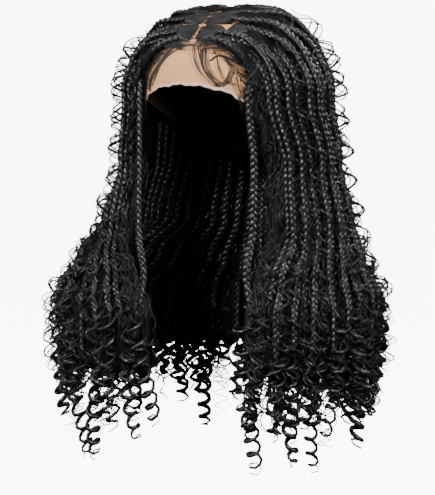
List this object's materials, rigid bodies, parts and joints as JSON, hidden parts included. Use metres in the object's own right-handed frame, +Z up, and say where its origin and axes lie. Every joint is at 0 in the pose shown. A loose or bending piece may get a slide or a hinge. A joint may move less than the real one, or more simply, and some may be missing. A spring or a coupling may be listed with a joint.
{
  "type": "braid wig",
  "caption": "Long knotless box-braid wig on a net cap with a sheer lace front, centre part, loose curls and spiral ends.",
  "frame": {"origin": "inside top of the cap, where it sits on the wearer's head", "axes": "+Z up, -Y the way the face opening looks, +X the wearer's left"},
  "size_m": [0.3507, 0.2614, 0.4519],
  "materials": {
    "black_hair": "soft sheen synthetic hair",
    "cap_net": "matt net",
    "sheer_lace": "matt sheer lace"
  },
  "bodies": {
    "root": {"braid_left_02": "black_hair", "braid_left_04": "black_hair", "braid_left_06": "black_hair", "braid_left_08": "black_hair", "braid_left_10": "black_hair", "braid_left_12": "black_hair", "braid_left_14": "black_hair", "braid_left_16": "black_hair", "braid_left_17": "black_hair", "braid_right_02": "black_hair", "braid_right_04": "black_hair", "braid_right_06": "black_hair", "braid_right_08": "black_hair", "braid_right_10": "black_hair", "braid_right_12": "black_hair", "braid_right_14": "black_hair", "braid_right_16": "black_hair", "braid_right_17": "black_hair", "front_braid_left": "black_hair", "front_braid_right": "black_hair", "hair_back_left": "black_hair", "hair_back_right": "black_hair", "hair_front_left": "black_hair", "hair_front_right": "black_hair", "hair_side_left": "black_hair", "hair_side_right": "black_hair", "lace_cap": "cap_net", "lace_front": "sheer_lace", "ringlet_left_01": "black_hair", "ringlet_left_03": "black_hair", "ringlet_left_05": "black_hair", "ringlet_left_07": "black_hair", "ringlet_left_09": "black_hair", "ringlet_left_13": "black_hair", "ringlet_left_17": "black_hair", "ringlet_right_01": "black_hair", "ringlet_right_03": "black_hair", "ringlet_right_05": "black_hair", "ringlet_right_07": "black_hair", "ringlet_right_09": "black_hair", "ringlet_right_13": "black_hair", "ringlet_right_16": "black_hair"}
  },
  "joints": []
}
